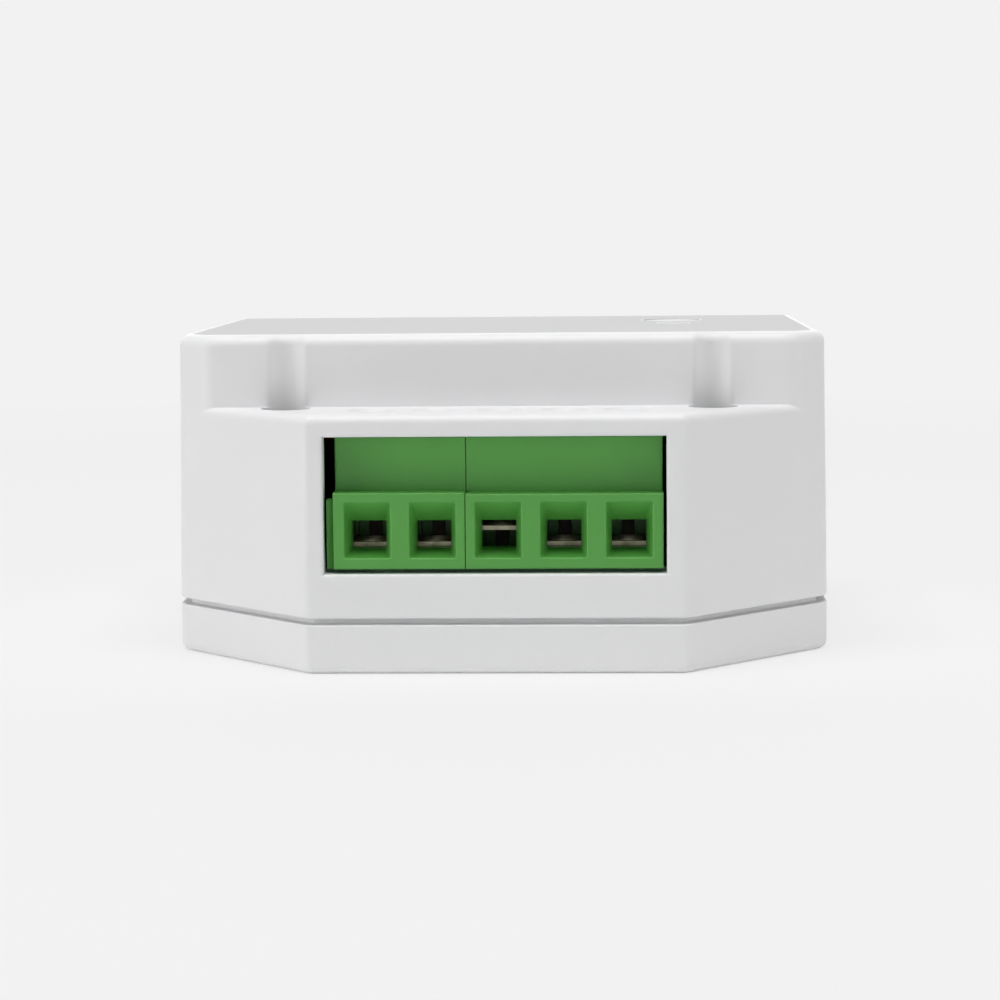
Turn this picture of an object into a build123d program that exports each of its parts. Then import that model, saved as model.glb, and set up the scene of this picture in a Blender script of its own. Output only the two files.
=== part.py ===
from build123d import *
import math
import os

# In-wall dimmer module: a white two-part case with a window for five screw terminals.
# X runs along the terminal row, Y from the wired front to the back, Z up from the base.
# The origin is the centre of the base. All sizes are millimetres.

# Case
case_width = 53.2
case_depth = 46.0
case_height = 26.0
front_width = 29.6
wall = 1.6
draft_deg = 0.9
side_radius = 3.0
front_radius = 0.9
back_radius = 1.3
least_radius = 0.6
top_radius = 0.9
ledge_radius = 0.65
corner_radius = 2.0
base_radius = 0.65
seam_radius = 0.15

# Split between the base cover and the upper housing
cover_top = 3.9
housing_bottom = 4.4
floor_thickness = 1.8
tongue_top = 6.0
tongue_outer = 0.85
rebate_top = 6.1
rebate_outer = 0.8

# Wired front: a low nose with a ledge in front of the set-back wall
ledge_z = 20.2
set_back = 9.4
window_left = -13.4
window_right = 13.2
window_bottom = 7.85
window_top = 18.5
window_radius = 0.25
driver_hole_radius = 1.6
driver_hole_lead_in = 0.35

# Case screws, sunk in round pockets that also groove the set-back wall
boss_x = 17.1
boss_y = -15.0
pocket_radius = 2.0
pocket_edge_radius = 0.7
pocket_floor = 9.6
boss_radius = 2.9
boss_bottom = 6.1
cover_boss_radius = 2.6
case_screw_radius = 1.1
case_screw_hole = 1.3
case_screw_head_radius = 1.75
case_screw_head = 1.5
case_screw_tip = 2.6
case_screw_point = 1.5

# Snap hooks at the back
hook_x = 14.0
hook_width = 5.0
hook_thickness = 1.2
hook_nose = 0.9
hook_top = 8.9
hook_catch = 7.0

# Boards, the posts under the main one and the ribs that hold it down
board_top = 8.2
board_thickness = 1.6
board_inset = 1.9
board_posts = [(22.3, -10.6), (21.5, 17.5)]
post_radius = 1.5
rib_places = (-4.0, 17.2)
rib_height = 6.0
rib_thickness = 1.2
radio_bottom = 18.6
radio_thickness = 1.0
radio_left = 3.5
radio_right = 23.0
radio_front = -8.0
radio_back = 20.6

# Terminal row
pole_count = 5
pole_pitch = 5.08
row_centre = 0.15
terminal_front = -22.5
terminal_back = -12.9
terminal_step_y = -20.5
two_way_step_z = 14.15
three_way_step_z = 14.05
terminal_top = 18.3
mouth_width = 3.6
mouth_bottom = 9.05
mouth_top = 13.45
wire_width = 2.7
wire_bottom = 9.6
wire_top = 11.8
terminal_radius = 0.12
end_wall = 0.1
funnel_radius = 0.15
mouth_radius = 0.15
dovetail_y = -21.35
dovetail_reach = 0.55
dovetail_top = 13.6

# Rising clamps: the screw turns in place and lifts a cage by its thread
screw_y = -17.2
screw_radius = 1.45
screw_tip = 12.75
screw_shoulder = 16.3
screw_head_radius = 1.75
screw_head_top = 17.8
slot_width = 0.6
slot_depth = 0.8
slot_turn = 47
cage_width = 3.95
cage_depth = 4.0
cage_wall = 0.4
cage_bottom = 9.6
cage_floor = 0.35
cage_top = 13.75
cage_crown = 1.0
raised_pole = 3
raised_by = 1.25
chamber_gap = 0.1
chamber_top = 15.7
bar_bottom = 12.1
bar_top = 12.7
bar_width = 2.6
pin_width = 1.0
pin_back = -14.4
pin_front = -15.0

# Setup button and its light, on the top
button_x = 14.5
button_y = 12.0
button_radius = 2.5
button_top = 25.95
button_gap = 0.1
flange_bottom = 23.7
flange_top = 24.2
flange_radius = 3.5
light_y = 5.0
light_radius = 1.3

# Identification label on the top, which follows the outline of the top face
label_inset = 1.4
label_front = -12.0
label_thickness = 0.15
label_corner = 0.6
label_button_margin = 0.25
label_light_margin = 0.2

# Component leads through the main board
lead_bottom = 5.0
lead_radius = 0.3
lead_hole = 0.5
lead_pitch = 2.54

# Component places, as x and y on the main board
fuse_place = (-18.3, -6.6)
varistor_place = (-9.2, -8.2)
film_place = (-17.0, 2.8)
choke_place = (-16.8, 13.2)
bulk_place = (-4.6, 15.6)
output_place = (-1.0, -8.2)
transformer_place = (-3.6, 3.6)
rectifier_place = (6.2, -9.0)
coupler_places = [(11.4, -8.9), (21.6, -8.9)]
supply_chip_place = (-4.0, 3.5)
controller_place = (13.0, 7.0)
radio_chip_place = (12.0, -2.2)
shield_place = (12.6, -2.3)
header_y = 18.6
header_x = [6.5 + pin * lead_pitch for pin in range(6)]

# Component sizes: heights stand over the main board, spreads lie between two leads
fuse_radius = 4.2
fuse_height = 8.0
fuse_spread = 2 * lead_pitch
varistor_radius = 4.6
varistor_thickness = 3.6
varistor_height = 10.8
varistor_spread = 2 * lead_pitch
film_width = 12.8
film_depth = 5.0
film_height = 11.0
film_spread = 10.0
bulk_radius = 4.0
bulk_height = 11.5
bulk_spread = 3.5
output_radius = 2.5
output_height = 9.0
output_spread = 2.0
choke_stand = 0.3
choke_flange = 1.6
choke_window = 6.8
choke_rim = 5.6
choke_hub = 2.6
choke_spread = 5.0
transformer_width = 12.0
transformer_depth = 4.0
transformer_stand = 1.7
transformer_height = 9.6
transformer_yoke = 1.4
transformer_pin_reach = 4.2
bobbin_width = 10.8
spool_stand = 3.2
spool_height = 6.6
spool_flange = 0.7
spool_rim = 4.7
spool_hub = 3.2
spool_bore = 2.75
shield_width = 14.0
shield_depth = 9.0
shield_height = 2.0
shield_sheet = 0.2
antenna_x = 21.6
antenna_front = -6.5
antenna_back = 16.0
antenna_rise = 2.2
switch_width = 6.0
switch_height = 3.5
resistor_count = 8
resistor_first = (-14.0, -4.4)
resistor_spacing = 3.6

# Dimming stage: two power transistors on a heat plate
plate_left = 6.6
plate_right = 22.8
plate_front = -5.6
plate_back = 16.6
pad_thickness = 0.4
plate_thickness = 1.5
transistor_y = (0.2, 10.8)
transistor_left = 7.0
transistor_right = 22.6
transistor_half = 5.0
transistor_lead_x = 4.85
transistor_hole_x = 19.4
tab_thickness = 1.3

half_width = case_width / 2
half_depth = case_depth / 2
ceiling = case_height - wall
wall_face = -half_depth + set_back
board_bottom = board_top - board_thickness
radio_top = radio_bottom + radio_thickness
pad_top = board_top + pad_thickness
plate_top = pad_top + plate_thickness
choke_base = board_top + choke_stand
transformer_bottom = board_top + transformer_stand
spool_bottom = board_top + spool_stand
spool_top = spool_bottom + spool_height
sides = (-1, 1)
join = 0.1

os.makedirs("parts", exist_ok=True)


def save(shape, name):
    """Write one sub-part under its own name."""
    shape.label = name
    export_step(shape, f"parts/{name}.step")


def block(x0, x1, y0, y1, z0, z1):
    """A box between two corners, given in either order."""
    size = Box(abs(x1 - x0), abs(y1 - y0), abs(z1 - z0))
    return Pos((x0 + x1) / 2, (y0 + y1) / 2, (z0 + z1) / 2) * size


def centred_block(x, y, width, depth, z0, z1):
    """A box centred on a place in plan."""
    return block(x - width / 2, x + width / 2, y - depth / 2, y + depth / 2, z0, z1)


def rod(x, y, z0, z1, radius):
    """An upright cylinder."""
    return Pos(x, y, (z0 + z1) / 2) * Cylinder(radius, z1 - z0)


def top_edges(shape):
    """The edges at a shape's greatest height."""
    return shape.edges().group_by(Axis.Z)[-1]


def rounded_block(x, y, width, depth, z0, z1, radius):
    """A centred box with its top and upright edges rounded."""
    shape = centred_block(x, y, width, depth, z0, z1)
    return fillet(shape.edges().filter_by(Axis.Z) + top_edges(shape), radius)


def round_corners(sketch, y, radius):
    """Round the corners of a flat shape that lie at one Y."""
    corners = [v for v in sketch.vertices() if abs(v.Y - y) < 0.01]
    return fillet(corners, radius)


def case_plan(inset):
    """Plan of the case: a rectangle with both front corners cut off at 45 degrees."""
    side = half_width - inset
    back = half_depth - inset
    front = inset - half_depth
    cut_line = front_width / 2 + half_depth - inset * math.sqrt(2)
    cut_front = cut_line + front
    cut_side = side - cut_line
    points = [(-side, back), (-side, cut_side), (-cut_front, front), (cut_front, front),
              (side, cut_side), (side, back)]
    plan = Polygon(*points, align=None)
    plan = round_corners(plan, cut_side, max(side_radius - inset, least_radius))
    plan = round_corners(plan, front, max(front_radius - inset, least_radius))
    return round_corners(plan, back, max(back_radius - inset, least_radius))


def prism(inset, z0, z1, taper=0.0):
    """The case's plan, drawn in by inset and raised from z0 to z1."""
    return extrude(Pos(0, 0, z0) * case_plan(inset), amount=z1 - z0, taper=taper)


def pole_x(pole):
    """Centre of a terminal pole, counted 1 to 5 from the left."""
    middle = (pole_count + 1) / 2
    return row_centre + (pole - middle) * pole_pitch


def housing_shell():
    """Outer form of the upper housing, with the nose lowered and the edges rounded."""
    shell = prism(0, housing_bottom, case_height, draft_deg)
    shell -= block(-case_width, case_width, -case_depth, wall_face, ledge_z, case_height + 1)
    rim = [e for e in shell.edges() if abs(e.center().Z - ledge_z) < 0.01
           and e.center().Y < wall_face - 0.5]
    shell = fillet(rim, ledge_radius)
    corners = [e for e in shell.edges() if abs(e.center().Y - wall_face) < 0.05
               and abs(e.center().X) > front_width / 2 and e.center().Z > ledge_z + 1]
    shell = fillet(corners, corner_radius)
    shell = fillet(top_edges(shell), top_radius)
    return fillet(shell.edges().group_by(Axis.Z)[0], seam_radius)


def cut_pocket_grooves(shell):
    """Grooves that the screw pockets leave in the set-back wall, with soft edges."""
    for side in sides:
        shell -= rod(side * boss_x, boss_y, pocket_floor, case_height + 1, pocket_radius)
    lips = [e for e in shell.edges() if abs(abs(e.center().X) - boss_x) < pocket_radius
            and abs(e.center().Y - wall_face) < 0.15
            and ledge_z + 1 < e.center().Z < case_height - 1]
    return fillet(lips, pocket_edge_radius)


def cut_window(shell):
    """The window for the terminal row, rounded along its front edges."""
    shell -= block(window_left, window_right, -half_depth - 1, wall - half_depth + 0.4,
                   window_bottom, window_top)
    rim = [e for e in shell.edges() if e.center().Y < wall / 2 - half_depth
           and window_left - 0.1 < e.center().X < window_right + 0.1
           and window_bottom - 0.1 < e.center().Z < window_top + 0.1]
    return fillet(rim, window_radius)


def housing_cavity():
    """Room inside the upper housing, lower under the ledge."""
    room = prism(wall, housing_bottom, ceiling, draft_deg)
    nose = block(-case_width, case_width, -case_depth, wall_face + wall, window_top, case_height)
    return room - nose + prism(rebate_outer, housing_bottom, rebate_top)


def make_upper_housing():
    """The white upper shell with its window, driver holes, screw pockets and board ribs."""
    shell = cut_window(cut_pocket_grooves(housing_shell()))
    housing = add_screw_bosses(shell - housing_cavity())
    for side in sides:
        for y in rib_places:
            housing += board_rib(side, y)
        housing -= hook_slot(side)

    for pole in range(1, pole_count + 1):
        housing -= driver_hole(pole_x(pole))

    housing -= rod(button_x, button_y, ceiling - 1, case_height + 1, button_radius + button_gap)
    housing -= rod(button_x, light_y, ceiling - 1, case_height + 1, light_radius)
    return housing - make_label()


def driver_hole(x):
    """Hole in the ledge over a clamp screw, flared at the top to lead the driver in."""
    flare = Cone(driver_hole_radius, driver_hole_radius + driver_hole_lead_in, driver_hole_lead_in)
    return (rod(x, screw_y, window_top - 1, ledge_z + 1, driver_hole_radius)
            + Pos(x, screw_y, ledge_z - driver_hole_lead_in / 2) * flare)


def add_screw_bosses(housing):
    """Bosses for the case screws, bored from above down to their seats."""
    limit = prism(rebate_outer / 2, housing_bottom, ledge_z - join, draft_deg)
    behind_wall = block(-half_width, half_width, wall_face + wall / 2, 0, ledge_z - 1, case_height)
    for side in sides:
        x = side * boss_x
        housing += rod(x, boss_y, boss_bottom, ledge_z - 2 * join, boss_radius) & limit
        housing += rod(x, boss_y, ledge_z - 1, ceiling + join, boss_radius) & behind_wall
        housing -= rod(x, boss_y, pocket_floor, case_height + 1, pocket_radius)
        housing -= rod(x, boss_y, housing_bottom, pocket_floor, case_screw_hole)
    return housing


def board_rib(side, y):
    """A rib on a side wall that holds the main board down."""
    inner = half_width - wall - board_inset
    outer = half_width - wall + 2 * join
    return block(side * inner, side * outer, y - rib_thickness / 2, y + rib_thickness / 2,
                 board_top, board_top + rib_height)


def hook_slot(side):
    """Slot in the back wall that a snap hook catches in."""
    return centred_block(side * hook_x, half_depth, hook_width + 0.4, 2 * wall + 2,
                         hook_catch - 0.1, hook_top)


def make_label():
    """Bare identification label, open round the button and the light."""
    top_face = block(-half_width, half_width, label_front, half_depth, 0, case_height)
    label = prism(label_inset, case_height - label_thickness, case_height) & top_face
    front_corners = [e for e in label.edges().filter_by(Axis.Z)
                     if abs(e.center().Y - label_front) < 0.01]
    label = fillet(front_corners, label_corner)
    label -= rod(button_x, button_y, ceiling, case_height + 1, button_radius + label_button_margin)
    return label - rod(button_x, light_y, ceiling, case_height + 1,
                       light_radius + label_light_margin)


def make_base_cover():
    """The shallow base tray with its tongue, board posts, screw bosses and snap hooks."""
    tray = prism(0, 0, cover_top)
    tray = fillet(tray.edges().group_by(Axis.Z)[0], base_radius)
    tray = fillet(top_edges(tray), seam_radius)
    tray += prism(tongue_outer, cover_top - 0.5, tongue_top)
    tray -= prism(wall, floor_thickness, tongue_top + 1)

    rooted = floor_thickness - 0.5
    limit = prism(tongue_outer, rooted, boss_bottom - 0.05)
    for side in sides:
        x = side * boss_x
        tray += rod(x, boss_y, rooted, boss_bottom, cover_boss_radius) & limit
        tray -= rod(x, boss_y, case_screw_tip - 0.4, boss_bottom + 1, case_screw_radius + 0.02)
        for post_x, post_y in board_posts:
            tray += rod(side * post_x, post_y, rooted, board_bottom, post_radius)
        tray += snap_hook(side)
    return tray


def snap_hook(side):
    """A springy arm on the back of the tray, with a nose that catches in the housing."""
    x0 = side * hook_x - hook_width / 2
    x1 = side * hook_x + hook_width / 2
    back = half_depth - wall - 0.1
    arm = block(x0, x1, back - hook_thickness, back, floor_thickness - 0.5, hook_top - 0.2)
    nose = Polygon((back, hook_catch), (back + hook_nose, hook_catch),
                   (back + hook_nose, hook_catch + 0.4), (back, hook_top - 0.4), align=None)
    return arm + Pos(x0, 0, 0) * extrude(Plane.YZ * nose, amount=x1 - x0)


def make_case_screws():
    """Two pan-head self-tapping screws that hold the halves together."""
    cross_half = 1.1
    cross_width = 0.56
    cross_bottom = pocket_floor + 0.7
    screws = []
    for side in sides:
        x = side * boss_x
        head = rod(x, boss_y, pocket_floor, pocket_floor + case_screw_head, case_screw_head_radius)
        head = fillet(top_edges(head), 0.6)
        head -= centred_block(x, boss_y, 2 * cross_half, cross_width, cross_bottom, ceiling)
        head -= centred_block(x, boss_y, cross_width, 2 * cross_half, cross_bottom, ceiling)
        point_top = case_screw_tip + case_screw_point
        shank = rod(x, boss_y, point_top, pocket_floor, case_screw_radius)
        point = Cone(0.35, case_screw_radius, case_screw_point)
        screws.append(head + shank + Pos(x, boss_y, point_top - case_screw_point / 2) * point)
    return Compound(children=screws)


def front_rectangle(x, y, width, z0, z1):
    """An upright rectangle that faces the wired front."""
    plane = Plane(origin=(x, y, (z0 + z1) / 2), x_dir=(1, 0, 0), z_dir=(0, -1, 0))
    return (plane * Rectangle(width, z1 - z0)).face()


def wire_entry(x):
    """Tapered wire entry with its straight hole to the clamp chamber."""
    mouth = front_rectangle(x, terminal_front, mouth_width, mouth_bottom, mouth_top)
    throat = front_rectangle(x, terminal_step_y, wire_width, wire_bottom, wire_top)
    half = wire_width / 2
    hole = block(x - half, x + half, terminal_step_y - 0.05, screw_y, wire_bottom, wire_top)
    return loft([mouth, throat], ruled=True) + hole


def round_wire_entries(body):
    """Round the inner corners of the tapered entries, and then their mouths."""
    def in_entry(edge):
        return (mouth_bottom - 0.1 < edge.center().Z < mouth_top + 0.1
                and edge.center().Y < terminal_step_y - 0.2
                and any(abs(edge.center().X - pole_x(pole)) < mouth_width / 2 + 0.05
                        for pole in range(1, pole_count + 1)))

    slopes = [e for e in body.edges() if in_entry(e) and e.center().Y > terminal_front + 0.2]
    body = fillet(slopes, funnel_radius)
    mouths = [e for e in body.edges() if in_entry(e) and e.center().Y < terminal_front + 0.01]
    return fillet(mouths, mouth_radius)


def clamp_chamber(x):
    """Room for one cage, its contact bar and its screw, open at the bottom."""
    bottom = board_top - 1
    deep = cage_depth / 2 + chamber_gap
    room = centred_block(x, screw_y, cage_width + 2 * chamber_gap, 2 * deep, bottom, chamber_top)
    slot = bar_width / 2 + 0.05
    room += block(x - slot, x + slot, screw_y + deep - join, pin_back + 0.05, bottom,
                  bar_top + 0.05)
    room += rod(x, screw_y, chamber_top - join, screw_shoulder, screw_radius + 0.12)
    return room + rod(x, screw_y, screw_shoulder, terminal_top + 1, screw_head_radius + 0.1)


def dovetail(x, gap):
    """Upright dovetail on a block's left side; gap widens it into the matching groove."""
    narrow = 0.4 + gap
    wide = 0.65 + gap
    tip = x - dovetail_reach - gap
    plan = Polygon((x + 0.01, dovetail_y - narrow), (x + 0.01, dovetail_y + narrow),
                   (tip, dovetail_y + wide), (tip, dovetail_y - wide), align=None)
    return extrude(Pos(0, 0, board_top) * plan, amount=dovetail_top + gap - board_top)


def make_terminal_block(first, last):
    """Green terminal body for the poles from first to last."""
    joint_gap = 0.02
    x0 = pole_x(first) - pole_pitch / 2 + (joint_gap if first > 1 else -end_wall)
    x1 = pole_x(last) + pole_pitch / 2 - (joint_gap if last < pole_count else -end_wall)
    body = block(x0, x1, terminal_step_y, terminal_back, board_top, terminal_top)
    step_z = two_way_step_z if first == 1 else three_way_step_z
    body += block(x0, x1, terminal_front, terminal_step_y, board_top, step_z)
    uprights = [e for e in body.edges().filter_by(Axis.Z)
                if abs(e.center().Y - terminal_step_y) < 0.01]
    body = fillet(body.edges().group_by(Axis.Y)[0] + uprights, terminal_radius)
    body += dovetail(x0, 0.0)
    if last < pole_count:
        body -= dovetail(x1 + joint_gap, 0.05)
    for pole in range(first, last + 1):
        body -= wire_entry(pole_x(pole))
    body = round_wire_entries(body)
    for pole in range(first, last + 1):
        body -= clamp_chamber(pole_x(pole))
    return body


def make_terminal_screw(pole):
    """Slotted clamp screw; its head turns against the shoulder in the terminal body."""
    x = pole_x(pole)
    head = rod(x, screw_y, screw_shoulder, screw_head_top, screw_head_radius)
    head = fillet(top_edges(head), 0.25)
    slot = centred_block(0, 0, 4 * screw_head_radius, slot_width, screw_head_top - slot_depth,
                         screw_head_top + 1)
    head -= Pos(x, screw_y, 0) * Rot(0, 0, pole * slot_turn) * slot
    shank = rod(x, screw_y, screw_tip, screw_shoulder, screw_radius)
    shank = chamfer(shank.edges().group_by(Axis.Z)[0], 0.25)
    return head + shank


def make_clamp_cage(pole):
    """Metal cage that the screw lifts to press a wire against the contact bar."""
    x = pole_x(pole)
    lift = raised_by if pole == raised_pole else 0.0
    cage = centred_block(x, screw_y, cage_width, cage_depth, cage_bottom, cage_top)
    cage = fillet(cage.edges().filter_by(Axis.Y), 0.3)
    cage -= centred_block(x, screw_y, cage_width - 2 * cage_wall, cage_depth + 2,
                          cage_bottom + cage_floor, cage_top - cage_crown)
    cage -= rod(x, screw_y, cage_top - cage_crown - 0.5, cage_top + 1, screw_radius + 0.09)
    return Pos(0, 0, lift) * cage


def make_contact_pins():
    """Five tinned contact bars, each bent down into its solder pin."""
    bar_front = screw_y - cage_depth / 2 + 0.2
    pins = []
    for pole in range(1, pole_count + 1):
        x = pole_x(pole)
        bar = block(x - bar_width / 2, x + bar_width / 2, bar_front, pin_back, bar_bottom, bar_top)
        pin = block(x - pin_width / 2, x + pin_width / 2, pin_front, pin_back, lead_bottom, bar_top)
        pins.append(bar + pin)
    return Compound(children=pins)


def make_main_board():
    """Power board, notched for the screw bosses and the snap hooks."""
    board = prism(board_inset, board_bottom, board_top)
    for side in sides:
        board -= rod(side * boss_x, boss_y, 0, case_height, boss_radius + 0.4)
        board -= centred_block(side * hook_x, half_depth, hook_width + 0.8, 2 * wall + 3.6, 0,
                               case_height)
    for pole in range(1, pole_count + 1):
        board -= rod(pole_x(pole), (pin_front + pin_back) / 2, 0, case_height, 0.7)
    for x, y in through_holes():
        board -= rod(x, y, 0, case_height, lead_hole)
    return board


def two_leads(place, spread):
    """Two lead positions either side of a place."""
    x, y = place
    return [(x - spread / 2, y), (x + spread / 2, y)]


fuse_leads = two_leads(fuse_place, fuse_spread)
varistor_leads = two_leads(varistor_place, varistor_spread)
film_leads = two_leads(film_place, film_spread)
choke_leads = two_leads(choke_place, choke_spread)
bulk_leads = two_leads(bulk_place, bulk_spread)
output_leads = two_leads(output_place, output_spread)


def transformer_pins():
    """Four pin positions under the supply transformer."""
    x, y = transformer_place
    reaches = (-transformer_pin_reach, transformer_pin_reach)
    return [(x + dx, y + dy) for dx in reaches for dy in reaches]


def transistor_leads():
    """Lead positions of both power transistors."""
    return [(transistor_lead_x, y + i * lead_pitch) for y in transistor_y for i in (-1, 0, 1)]


def through_holes():
    """Every round lead hole in the main board."""
    header_pins = [(x, header_y) for x in header_x]
    return (fuse_leads + varistor_leads + film_leads + choke_leads + bulk_leads + output_leads
            + transformer_pins() + transistor_leads() + header_pins)


def leads(places, top):
    """Round component leads from under the board up to a body."""
    shape = rod(*places[0], lead_bottom, top, lead_radius)
    for x, y in places[1:]:
        shape += rod(x, y, lead_bottom, top, lead_radius)
    return shape


def make_fuse():
    """Radial fuse in its round cap."""
    body = rod(*fuse_place, board_top + 0.4, board_top + fuse_height, fuse_radius)
    return fillet(top_edges(body), 0.4) + leads(fuse_leads, board_top + 1)


def make_varistor():
    """Surge varistor, a coated disc on edge."""
    x, y = varistor_place
    centre_z = board_top + varistor_height - varistor_radius
    disc = Pos(x, y, centre_z) * Rot(90, 0, 0) * Cylinder(varistor_radius, varistor_thickness)
    disc = fillet(disc.edges().filter_by(GeomType.CIRCLE), 1.0)
    return disc + leads(varistor_leads, board_top + 4)


def make_film_capacitor():
    """Interference film capacitor in a potted box."""
    body = rounded_block(*film_place, film_width, film_depth, board_top + 0.3,
                         board_top + film_height, 0.4)
    return body + leads(film_leads, board_top + 1)


def make_capacitor(place, radius, height, places):
    """Radial electrolytic can with its rolled groove."""
    x, y = place
    can = rod(x, y, board_top + 0.3, board_top + height, radius)
    can = fillet(top_edges(can), 0.5)
    groove = Pos(x, y, board_top + 2.1) * Torus(radius + 0.35, 0.6)
    return can - groove + leads(places, board_top + 1)


def make_choke_core():
    """Ferrite drum of the interference choke, with the pins set in its lower flange."""
    x, y = choke_place
    upper = choke_base + choke_flange + choke_window
    drum = rod(x, y, choke_base, choke_base + choke_flange, choke_rim)
    drum += rod(x, y, choke_base + choke_flange, upper, choke_hub)
    drum += rod(x, y, upper, upper + choke_flange, choke_rim)
    return drum + leads(choke_leads, choke_base + choke_flange / 2)


def make_choke_winding():
    """Enamelled winding round the drum."""
    x, y = choke_place
    z0 = choke_base + choke_flange + 0.05
    coil = rod(x, y, z0, z0 + choke_window - 0.1, choke_rim - 0.6)
    coil = fillet(top_edges(coil), 0.4)
    return coil - rod(x, y, choke_base, case_height, choke_hub + 0.05)


def make_transformer_core():
    """Ferrite frame of the supply transformer, round and through its bobbin."""
    x, y = transformer_place
    top = transformer_bottom + transformer_height
    frame = centred_block(x, y, transformer_width, transformer_depth, transformer_bottom, top)
    for side in sides:
        frame -= centred_block(x + side * 3.3, y, 3.0, 6.0, transformer_bottom + transformer_yoke,
                               top - transformer_yoke)
    return frame


def make_transformer_bobbin():
    """Bobbin of the supply transformer with its pins."""
    x, y = transformer_place
    base = rounded_block(x, y, bobbin_width, bobbin_width, board_top, board_top + 1.6, 0.3)
    spool = rod(x, y, spool_bottom, spool_bottom + spool_flange, spool_rim)
    spool += rod(x, y, spool_top - spool_flange, spool_top, spool_rim)
    spool += rod(x, y, spool_bottom, spool_top, spool_hub)
    spool -= rod(x, y, board_top, case_height, spool_bore)
    for side in sides:
        spool += centred_block(x, y + side * 3.65, 3.6, 1.5, board_top + 1, spool_bottom + 0.4)
    return base + spool + leads(transformer_pins(), board_top + 0.5)


def make_transformer_winding():
    """Taped winding on the bobbin."""
    x, y = transformer_place
    gap = 0.02
    z0 = spool_bottom + spool_flange + gap
    z1 = spool_top - spool_flange - gap
    return rod(x, y, z0, z1, spool_rim - 0.2) - rod(x, y, board_top, case_height, spool_hub + gap)


def make_insulating_pad():
    """Silicone pad between the heat plate and the board."""
    return block(plate_left, plate_right, plate_front, plate_back, board_top, pad_top)


def make_heat_plate():
    """Aluminium plate that spreads the transistors' heat."""
    plate = block(plate_left, plate_right, plate_front, plate_back, pad_top, plate_top)
    plate = fillet(plate.edges().filter_by(Axis.Z), 1.0)
    for y in transistor_y:
        plate -= rod(transistor_hole_x, y, 0, case_height, 1.5)
    return plate


def make_transistors():
    """Two power transistors lying on the plate, leads bent down to the board."""
    lead_width = 0.7
    lead_thickness = 0.5
    lead_z = plate_top + 2.2
    shapes = []
    for y in transistor_y:
        front = y - transistor_half
        back = y + transistor_half
        tab = block(transistor_left + 0.2, transistor_right, front, back, plate_top,
                    plate_top + tab_thickness)
        tab -= rod(transistor_hole_x, y, 0, case_height, 1.8)
        body = block(transistor_left, 16.2, front, back, plate_top + 0.01, plate_top + 4.4)
        shape = tab + chamfer(top_edges(body), 0.4)
        for lead in (-1, 0, 1):
            y0 = y + lead * lead_pitch - lead_width / 2
            y1 = y0 + lead_width
            x0 = transistor_lead_x - lead_thickness / 2
            shape += block(x0, 7.5, y0, y1, lead_z, lead_z + lead_thickness)
            shape += block(x0, x0 + lead_thickness, y0, y1, lead_bottom, lead_z + lead_thickness)
        shapes.append(shape)
    return Compound(children=shapes)


def make_transistor_screws():
    """Two pan-head screws that hold the transistors to the plate."""
    seat = plate_top + tab_thickness
    screws = []
    for y in transistor_y:
        head = rod(transistor_hole_x, y, seat, seat + 2.0, 2.7)
        head = fillet(top_edges(head), 0.8)
        head -= centred_block(transistor_hole_x, y, 2.8, slot_width, seat + 1.1, seat + 3)
        screws.append(head + rod(transistor_hole_x, y, pad_top + 0.05, seat, 1.46))
    return Compound(children=screws)


def gull_chip(place, width, depth, height, legs, pitch, z, down=1):
    """Moulded chip with bent legs along both long sides; down is -1 under a board."""
    x, y = place
    leg_width = 0.4
    body = centred_block(x, y, width, depth, z + down * 0.1, z + down * height)
    body = chamfer(body.edges().group_by(Axis.Z)[-1 if down > 0 else 0], 0.2)
    for i in range(legs):
        leg_x = x + (i - (legs - 1) / 2) * pitch
        for side in sides:
            edge = y + side * depth / 2
            body += block(leg_x - leg_width / 2, leg_x + leg_width / 2, edge - side * 0.2,
                          edge + side * 0.5, z, z + down * height / 2)
            body += block(leg_x - leg_width / 2, leg_x + leg_width / 2, edge + side * 0.3,
                          edge + side * 1.0, z, z + down * 0.3)
    return body


def make_bridge_rectifier():
    """Small surface-mounted bridge rectifier."""
    return gull_chip(rectifier_place, 4.8, 3.9, 2.5, 2, lead_pitch, board_top)


def make_optocouplers():
    """Two couplers that sense the wall switch inputs."""
    chips = [gull_chip(place, 4.6, 4.4, 3.4, 2, lead_pitch, board_top) for place in coupler_places]
    return Compound(children=chips)


def make_supply_chip():
    """Supply controller under the main board."""
    return gull_chip(supply_chip_place, 4.9, 3.9, 1.5, 4, lead_pitch / 2, board_bottom, -1)


def make_chip_resistors():
    """A row of surface-mounted resistors under the main board."""
    x, y = resistor_first
    resistors = [centred_block(x + i * resistor_spacing, y, 1.6, 3.2, board_bottom - 0.6,
                               board_bottom) for i in range(resistor_count)]
    return Compound(children=resistors)


def header_strip(z0, z1):
    """Plastic strip of the board-to-board plug, one cell to a pin."""
    return block(header_x[0] - lead_pitch / 2, header_x[-1] + lead_pitch / 2, header_y - 1.25,
                 header_y + 1.25, z0, z1)


def make_header_pins():
    """Six-way pin header: its plastic strip on the main board, and the pins."""
    header = header_strip(board_top, board_top + 2.5)
    for x in header_x:
        header += centred_block(x, header_y, 0.64, 0.64, lead_bottom, radio_bottom - 1.6)
    return header


def make_socket_strip():
    """Six-way socket under the radio board, plugged on the header."""
    bottom = board_top + 2.6
    socket = header_strip(bottom, radio_bottom)
    for x in header_x:
        socket -= centred_block(x, header_y, 0.68, 0.68, bottom - 1, radio_bottom - 1.5)
        socket += rod(x, header_y, radio_bottom - 0.5, radio_top + 0.7, lead_radius)
    return socket


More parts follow.
